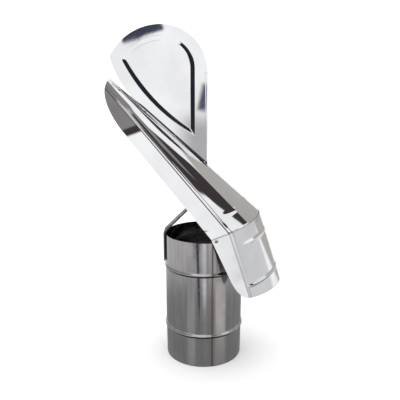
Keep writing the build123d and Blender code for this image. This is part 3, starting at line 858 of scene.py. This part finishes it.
class Drop:
    """Outline of a drop: a straight edge up from the tip, a crown of two arcs, and a belly."""

    def __init__(self, edge_x, crown_z, radii, corner_turn, heel, bulge):
        self.edge_x = edge_x
        self.front, self.back = radii
        self.front_centre = Vector((edge_x - self.front, crown_z - self.front))
        self.back_centre = Vector((edge_x - self.front, crown_z - self.back))
        reach = Vector((-sin(corner_turn), cos(corner_turn))) * self.back
        corner = self.back_centre + reach
        chord = heel - corner
        self.belly = (chord.length**2 / 4 + bulge**2) / (2 * bulge)
        inward = Vector((-chord.y, chord.x)).normalized()
        self.belly_centre = (corner + heel) / 2 + inward * (self.belly - bulge)

    def draw(self, bm, y, inset=0, foot=None):
        """Draw the outline at a place along Y, moved inwards; a foot is its lower line."""
        def at(point):
            return Vector((point[0], y, point[1]))

        edge_x, belly = self.edge_x - inset, self.belly - inset
        crossings = intersect_sphere_sphere_2d(self.back_centre, self.back - inset,
                                               self.belly_centre, belly)
        corner = min(crossings, key=lambda point: point.x)
        drop = sqrt(belly**2 - (edge_x - self.belly_centre.x)**2)
        tip, heel = foot or [(edge_x, self.belly_centre.y - drop)] * 2
        made = set(bm.edges)
        start = bm.verts.new(at(tip))
        vertex = run_to(bm, start, at((edge_x, self.front_centre.y)))
        crown = at((self.front_centre.x, self.front_centre.y + self.front - inset))
        vertex = run_round(bm, vertex, at(self.front_centre), crown)
        vertex = run_round(bm, vertex, at(self.back_centre), at(corner))
        vertex = run_round(bm, vertex, at(self.belly_centre), at(heel))
        if foot:
            bm.edges.new((vertex, start))
        else:
            bmesh.ops.pointmerge(bm, verts=[start, vertex], merge_co=at(tip))
        return [edge for edge in bm.edges if edge not in made]


def slope_rise(share):
    """Rise of the panel's slope, as a share: straight, with a rounded start and end."""
    steep = 1 / (1 - PANEL_ROUNDING)
    if share < PANEL_ROUNDING:
        return steep * share**2 / (2 * PANEL_ROUNDING)
    if share > 1 - PANEL_ROUNDING:
        return 1 - steep * (1 - share)**2 / (2 * PANEL_ROUNDING)
    return steep * (share - PANEL_ROUNDING / 2)


def vane_plate(sheet):
    """The vane's plate, its panel pressed out towards the camera over a rounded slope."""
    foot = [Vector((x, ridge_at(x) + SEAT_GAP)) for x in (VANE_EDGE_X, VANE_HEEL_X)]
    vane = Drop(VANE_EDGE_X, VANE_CROWN_Z, (VANE_FRONT_RADIUS, VANE_BACK_RADIUS),
                VANE_CORNER_TURN, foot[1], VANE_BULGE)
    panel_x = VANE_EDGE_X - PANEL_EDGE_MARGIN
    panel_tip = Vector((panel_x, ridge_at(VANE_EDGE_X) + PANEL_TIP_RISE))
    panel = Drop(panel_x, VANE_CROWN_Z - PANEL_CROWN_MARGIN,
                 (PANEL_FRONT_RADIUS, PANEL_BACK_RADIUS), PANEL_CORNER_TURN, panel_tip,
                 PANEL_BULGE)
    bm = bmesh.new()
    ring = panel.draw(bm, -sheet / 2)
    rim = vane.draw(bm, -sheet / 2, foot=foot)
    bmesh.ops.triangle_fill(bm, use_beauty=True, edges=rim + ring)
    for share in even(0, 1, PANEL_STEPS)[1:]:
        rise = PANEL_HEIGHT * slope_rise(share)
        next_ring = panel.draw(bm, -sheet / 2 - rise, PANEL_SLOPE * share)
        bmesh.ops.bridge_loops(bm, edges=ring + next_ring)
        ring = next_ring
    bmesh.ops.contextual_create(bm, geom=ring)
    bmesh.ops.recalc_face_normals(bm, faces=bm.faces)
    give_wall(bm, sheet, BEHIND_VANE, POLISHED)
    return bm


def vane_foot(sheet):
    """The strip that is bent from the plate and lies on the hood's near flank."""
    columns, place = ruled_form(FOOT_STATIONS)
    bm = new_grid(FOOT_COLUMNS, len(FOOT_STATIONS) - 1,
                  lambda column, row: place(columns // 2 - column, row))
    bm.normal_update()
    outward = -1 if bm.verts[:][0].normal.dot(RIDGE_DEPTH) > 0 else 1
    moves = [(vertex, vertex.normal * (SEAT_GAP + sheet) * outward) for vertex in bm.verts]
    for vertex, move in moves:
        vertex.co += move
    start = ridge_point((SEAM_X - VANE_EDGE_X) / cos(RIDGE_ANGLE))
    end = ridge_point(FOOT_END)
    trim(bm, start, -RIDGE_UP)
    trim(bm, end, RIDGE_UP)
    near_start = start - Vector((0, FOOT_WIDTH, 0))
    near_end = end - Vector((0, FOOT_WIDTH * sin(NOSE_HALF_ANGLE), 0))
    side = (near_end - near_start).cross(RIDGE_DEPTH).normalized()
    trim(bm, near_start, side if side.y < 0 else -side)
    give_wall(bm, sheet, UNDER_HOOD, POLISHED)
    return bm


def vane_bend(sheet):
    """The rounded bend between the plate and the foot, which ends thin at the plate's heel."""
    columns, place = ruled_form(FOOT_STATIONS)
    lift = Vector((0, -sheet, 0)) - RIDGE_DEPTH * sheet

    def on_bend(column, row):
        crest = place(columns // 2, row) + lift
        flank = place(columns // 2 - FLANK_COLUMN, row) + lift
        size = min(max((crest.x - VANE_HEEL_X) * BEND_TAPER, BEND_LEAST_SIZE), BEND_SIZE)
        up = crest + Vector((0, 0, size))
        down = crest + (flank - crest).normalized() * size
        point = round_off(up, crest, down, column / BEND_COLUMNS)
        point.y = min(point.y, -sheet / 2 - PLATE_GAP)
        return point

    # the whole bend gets the painted shade, inside and out
    bm = new_grid(BEND_COLUMNS, len(FOOT_STATIONS) - 1, on_bend, range(BEND_COLUMNS))
    trim(bm, Vector((VANE_EDGE_X, 0, 0)), Vector((1, 0, 0)))
    trim(bm, Vector((VANE_HEEL_X, 0, 0)), Vector((-1, 0, 0)))
    give_wall(bm, sheet / 2, UNDER_HOOD, PAINTED_SHADE)
    return bm


def vane_hem(sheet):
    """The fold along the plate's straight edge."""
    top = VANE_CROWN_Z - VANE_FRONT_RADIUS
    length = top - ridge_at(VANE_EDGE_X) - 2 * HEM_WIDTH
    bm = bmesh.new()
    bmesh.ops.create_cube(bm, size=1)
    bmesh.ops.scale(bm, vec=(HEM_WIDTH, sheet, length), verts=bm.verts)
    bmesh.ops.translate(bm, verts=bm.verts,
                        vec=(VANE_EDGE_X - HEM_WIDTH / 2, -sheet, top - length / 2))
    along = [edge for edge in bm.edges
             if abs(edge.verts[0].co.z - edge.verts[1].co.z) > HEM_WIDTH]
    bmesh.ops.bevel(bm, geom=along, offset=HEM_ROUNDING, offset_type="OFFSET", affect="EDGES",
                    segments=HEM_STEPS, profile=0.5, material=-1)
    return bm


def merged(parts):
    """One bmesh out of several; the others are freed."""
    whole, *others = parts
    for part in others:
        mesh = bpy.data.meshes.new("part")
        part.to_mesh(mesh)
        part.free()
        whole.from_mesh(mesh)
        bpy.data.meshes.remove(mesh)
    return whole


class COWL_OT_wind_vane(bpy.types.Operator):
    """Make the wind vane: a drop-shaped plate with a pressed panel, a hem and a foot"""

    bl_idname = "cowl.wind_vane"
    bl_label = "Wind vane"

    def execute(self, context):
        sheet = context.scene.cowl_sheet.sheet
        bm = merged([vane_plate(sheet), vane_foot(sheet), vane_bend(sheet), vane_hem(sheet)])
        add_piece(bm, "polished_wind_vane", "head", "wind_vane",
                  FOLDED_METALS)
        return {"FINISHED"}


# ---- Base pipe


def pipe_radius_at(z):
    """Outside radius of the pipe, with its spigot and its rolled beads."""
    radius = PIPE_RADIUS - (SPIGOT_STEP if z < BEADS[0] - BEAD_HALF else 0)
    return radius + BEAD_HEIGHT * sum(swell(z - bead, BEAD_HALF) for bead in BEADS)


class COWL_OT_base_pipe(bpy.types.Operator):
    """Make the pipe: spin its wall, with two beads and a stepped spigot, round the axis"""

    bl_idname = "cowl.base_pipe"
    bl_label = "Base pipe"

    def execute(self, context):
        sheet = context.scene.cowl_sheet.sheet
        heights = [0, BEADS[0] - BEAD_HALF]
        for bead in BEADS:
            heights += [bead + BEAD_HALF * share for share in even(-1, 1, PIPE_BEAD_STEPS)]
        heights += [PIPE_HEIGHT]
        bm = bmesh.new()
        first = vertex = bm.verts.new((pipe_radius_at(0), 0, 0))
        for z in heights[1:]:
            vertex = run_to(bm, vertex, (pipe_radius_at(z), 0, z))
        for z in reversed(heights):
            vertex = run_to(bm, vertex, (pipe_radius_at(z) - sheet, 0, z))
        bm.edges.new((vertex, first))
        bmesh.ops.spin(bm, geom=bm.verts[:] + bm.edges[:], cent=(0, 0, 0), axis=(0, 0, 1),
                       angle=2 * pi, steps=PIPE_SIDES, use_merge=True)
        bmesh.ops.remove_doubles(bm, verts=bm.verts, dist=JOIN_GAP)
        bmesh.ops.recalc_face_normals(bm, faces=bm.faces)
        add_piece(bm, "rolled_base_pipe", "base", "base_pipe", PIPE_METALS)
        return {"FINISHED"}


# ---- Studio


class Card(NamedTuple):
    """A card round the studio; its place, size and roll are in degrees."""

    azimuth: float
    elevation: float
    width: float
    height: float
    softness: float
    colour: tuple
    roll: float = 0     # raises the card's right-hand side


# Elevations and how bright the studio is there, where no card stands
STUDIO_LEVELS = (
    (-90, 0.05), (-52, 0.1), (-40, 0.26), (-24, 0.3), (-21.5, 0.6), (-15, 0.8), (-8, 1.0),
)
STUDIO_CARDS = (            # a card hides those before it
    # Broad walls
    Card(-95, 28, 90, 66, 4.0, (0.36, 0.36, 0.37)),
    Card(66, -8, 80, 20, 3.0, (0.66, 0.66, 0.66), 14),
    Card(0, -20, 50, 6.4, 0.5, (0.66, 0.66, 0.67)),
    Card(124, 18, 76, 46.3, 1.5, (0.46, 0.44, 0.42), -24.5),
    # High and dark, over the hood's back
    Card(58, 47.2, 43, 13, 0.6, (0.05, 0.04, 0.042)),
    Card(42, 58.5, 22.4, 9.3, 0.5, (0.25, 0.24, 0.235), 30.4),
    Card(40.5, 50.6, 13.4, 10.8, 0.5, (0.25, 0.24, 0.235)),
    # Dark, for the slopes of the vane's panel
    Card(20, -0.6, 32, 13.4, 0.8, (0.02, 0.02, 0.03)),
    Card(30.7, 13.8, 42.4, 17.5, 0.6, (0.02, 0.02, 0.03)),
    Card(-21, -10.7, 23, 15.4, 0.5, (0.02, 0.02, 0.035)),
    Card(-17.4, -20.6, 14, 4.6, 0.4, (0.02, 0.02, 0.035), -42),
    # Small, for the vane's flat rim
    Card(-7.0, 5.6, 4.6, 3.2, 0.2, (0.05, 0.055, 0.085), 20),
    Card(0.1, -2.3, 1.1, 3.0, 0.3, (0.09, 0.095, 0.15), -12),
    Card(-0.6, -7.6, 3.6, 6.4, 1.4, (0.47, 0.46, 0.48)),
    # Low, under the horizon
    Card(11.5, -17.5, 5, 12, 1.5, (0.44, 0.44, 0.45)),
    Card(2.5, -20.5, 9, 9, 0.6, (0.95, 0.95, 0.96)),
    Card(52, -26, 30, 9, 4.0, (0.72, 0.70, 0.68)),
    Card(-38, -27, 22, 11, 3.0, (0.44, 0.44, 0.45)),
    Card(48, -19.3, 22, 3.6, 0.6, (0.07, 0.055, 0.05)),
)
LEAST_FACING = 0.01     # rays square to a card's direction, and beyond, miss it
UP = Vector((0, 0, 1))
PLAIN_COLOUR = (1, 1, 1)
PLAIN_STRENGTH = 1.35


def direction(azimuth, elevation):
    """Unit vector; azimuth 0 is straight behind the camera, and 90 is to its right."""
    a, e = radians(azimuth), radians(elevation)
    return Vector((sin(a) * cos(e), -cos(a) * cos(e), sin(e)))


class Surround(NodeMaker):
    """Builds what the polished metal mirrors round it, by the direction of each ray."""

    def __init__(self, tree):
        super().__init__(tree)
        self.nodes.clear()
        self.ray = self.nodes.new("ShaderNodeTexCoord").outputs["Generated"]

    def along(self, vector):
        """How far the ray goes along a unit vector."""
        node = self.nodes.new("ShaderNodeVectorMath")
        node.operation = "DOT_PRODUCT"
        self.feed(node.inputs[0], self.ray)
        self.feed(node.inputs[1], vector)
        return node.outputs["Value"]

    def levels(self):
        """Grey levels by elevation; the ramp goes from 0 straight down to 1 straight up."""
        ramp = self.nodes.new("ShaderNodeValToRGB")
        self.feed(ramp.inputs[0], self.maths("MULTIPLY_ADD", self.along(UP), 0.5, 0.5))
        stops = ramp.color_ramp.elements
        while len(stops) < len(STUDIO_LEVELS):
            stops.new(0.5)
        for stop, (elevation, brightness) in zip(stops, STUDIO_LEVELS):
            stop.position = 0.5 + 0.5 * sin(radians(elevation))
            stop.color = (brightness, brightness, brightness, 1)
        return ramp.outputs["Color"]

    def card_mask(self, card):
        """1 where a ray meets a card far away, 0 elsewhere, soft at the card's edges."""
        facing = direction(card.azimuth, card.elevation)
        level = Matrix.Rotation(radians(card.roll), 3, facing) @ UP.cross(facing).normalized()
        ahead = self.along(facing)
        depth = self.maths("MAXIMUM", ahead, LEAST_FACING)
        mask = self.maths("GREATER_THAN", ahead, LEAST_FACING)
        for side, size in ((level, card.width), (facing.cross(level), card.height)):
            half, soft = tan(radians(size / 2)), tan(radians(card.softness))
            away = self.maths("ABSOLUTE", self.maths("DIVIDE", self.along(side), depth))
            edge = self.spread(away, low=1, high=0, start=half - soft, end=half + soft)
            mask = self.maths("MULTIPLY", mask, edge)
        return mask

    def background(self, colour, strength=1.0):
        node = self.nodes.new("ShaderNodeBackground")
        self.feed(node.inputs["Color"], colour)
        self.feed(node.inputs["Strength"], strength)
        return node.outputs[0]


def studio_world():
    """Cards that the polished metal mirrors; the rest is lit by a plain white surround."""
    world = bpy.data.worlds.new("studio_surround")
    bpy.context.scene.world = world
    world.use_nodes = True
    studio = Surround(world.node_tree)
    colour = studio.levels()
    for card in STUDIO_CARDS:
        colour = studio.cover(studio.card_mask(card), colour, card.colour)
    plain = studio.background((*PLAIN_COLOUR, 1), PLAIN_STRENGTH)
    shown = studio.unless_mirrored(plain, studio.background(colour))
    output = studio.nodes.new("ShaderNodeOutputWorld")
    studio.feed(output.inputs["Surface"], shown)


class COWL_OT_studio(bpy.types.Operator):
    """Set up the floor, the light and the camera"""

    bl_idname = "cowl.studio"
    bl_label = "Studio"

    def execute(self, context):
        studio = context.scene.cowl_studio
        bm = bmesh.new()
        bmesh.ops.create_grid(bm, x_segments=2, y_segments=2, size=studio.floor_size / 2)
        mesh = bpy.data.meshes.new("floor")
        bm.to_mesh(mesh)
        bm.free()
        mesh.materials.append(floor_material())
        floor = bpy.data.objects.new("floor", mesh)
        context.scene.collection.objects.link(floor)
        studio_world()
        lens = bpy.data.cameras.new("camera")
        lens.lens = studio.focal_length
        camera = bpy.data.objects.new("camera", lens)
        camera.location = (0, -studio.camera_distance, studio.camera_height)
        camera.rotation_euler = (pi / 2 - studio.camera_pitch, 0, studio.camera_yaw)
        context.scene.collection.objects.link(camera)
        context.scene.camera = camera
        context.scene.view_settings.view_transform = "Standard"
        return {"FINISHED"}


# ---- Add-on


OPERATORS = (COWL_OT_metals, COWL_OT_hood, COWL_OT_neck_guard, COWL_OT_wind_vane,
             COWL_OT_base_pipe, COWL_OT_studio)


class COWL_PT_sidebar(bpy.types.Panel):
    """Lists the cowl's operators"""

    bl_label = "Chimney Cowl"
    bl_idname = "COWL_PT_sidebar"
    bl_space_type = "VIEW_3D"
    bl_region_type = "UI"
    bl_category = "Chimney Cowl"

    def draw(self, context):
        for operator in OPERATORS:
            self.layout.operator(operator.bl_idname)


SETTINGS = {"cowl_sheet": CowlSheet, "cowl_finish": CowlFinish, "cowl_studio": CowlStudio}


def register():
    for item in (*SETTINGS.values(), *OPERATORS, COWL_PT_sidebar):
        bpy.utils.register_class(item)
    for name, group in SETTINGS.items():
        setattr(bpy.types.Scene, name, bpy.props.PointerProperty(type=group))


def unregister():
    for name in SETTINGS:
        delattr(bpy.types.Scene, name)
    for item in (COWL_PT_sidebar, *reversed(OPERATORS), *reversed(SETTINGS.values())):
        bpy.utils.unregister_class(item)


def main():
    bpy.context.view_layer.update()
    register()
    bpy.ops.cowl.metals()
    bpy.ops.cowl.hood()
    bpy.ops.cowl.neck_guard()
    bpy.ops.cowl.wind_vane()
    bpy.ops.cowl.base_pipe()
    bpy.ops.cowl.studio()


if __name__ == "__main__":
    main()
